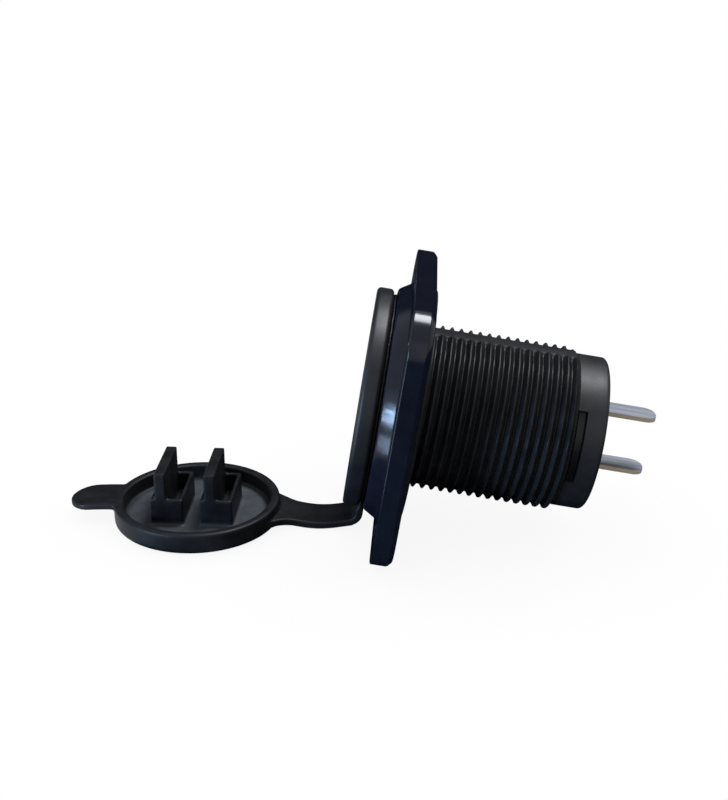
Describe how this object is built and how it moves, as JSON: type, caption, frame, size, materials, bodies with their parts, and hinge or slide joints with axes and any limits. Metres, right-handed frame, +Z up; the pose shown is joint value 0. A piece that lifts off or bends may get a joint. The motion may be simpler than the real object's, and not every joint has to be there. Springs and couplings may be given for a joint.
{
  "type": "panel-mount usb charging socket",
  "caption": "Round panel-mount USB charging socket with a threaded barrel, square mounting plate, blade terminals and a tethered rubber cap.",
  "frame": {"origin": "on the barrel's axis, in the plane where the gasket meets the vehicle's panel", "axes": "+X along the barrel from the front to the terminals, +Y to the right seen from behind the socket, +Z up as installed with the cap's strap at the bottom"},
  "size_m": [0.0998, 0.0458, 0.0535],
  "materials": {
    "housing": "fine matte moulded texture",
    "face": "satin moulded",
    "panel": "gloss moulded",
    "gasket": "matte rubber",
    "cap_rubber": "soft matte rubber",
    "shell_metal": "bright plated",
    "insulator": "moulded",
    "contact_metal": "plated",
    "board": "lacquered laminate",
    "component": "moulded",
    "can": "drawn can",
    "terminal_metal": "plated strip"
  },
  "bodies": {
    "socket": {"socket_housing": "housing", "rear_cover": "housing", "face_insert": "face", "mounting_panel": "panel", "rear_gasket": "gasket", "cap_ring": "cap_rubber", "usb_shell_upper": "shell_metal", "usb_shell_lower": "shell_metal", "usb_tongue_upper": "insulator", "usb_tongue_lower": "insulator", "usb_contacts_upper": "contact_metal", "usb_contacts_lower": "contact_metal", "circuit_board": "board", "converter_chip": "component", "inductor": "component", "input_capacitor": "can", "output_capacitor": "can", "terminal_positive": "terminal_metal", "terminal_negative": "terminal_metal"},
    "cap": {"cap": "cap_rubber", "cap_plugs": "cap_rubber"}
  },
  "joints": [
    {"name": "cap_hinge", "type": "hinge", "parent": "socket", "child": "cap", "pos_m": [-0.0127, 0, -0.0236], "axis": [0, 1, 0], "range_deg": [-80, 98.5], "deforming": ["cap_plugs"]}
  ]
}
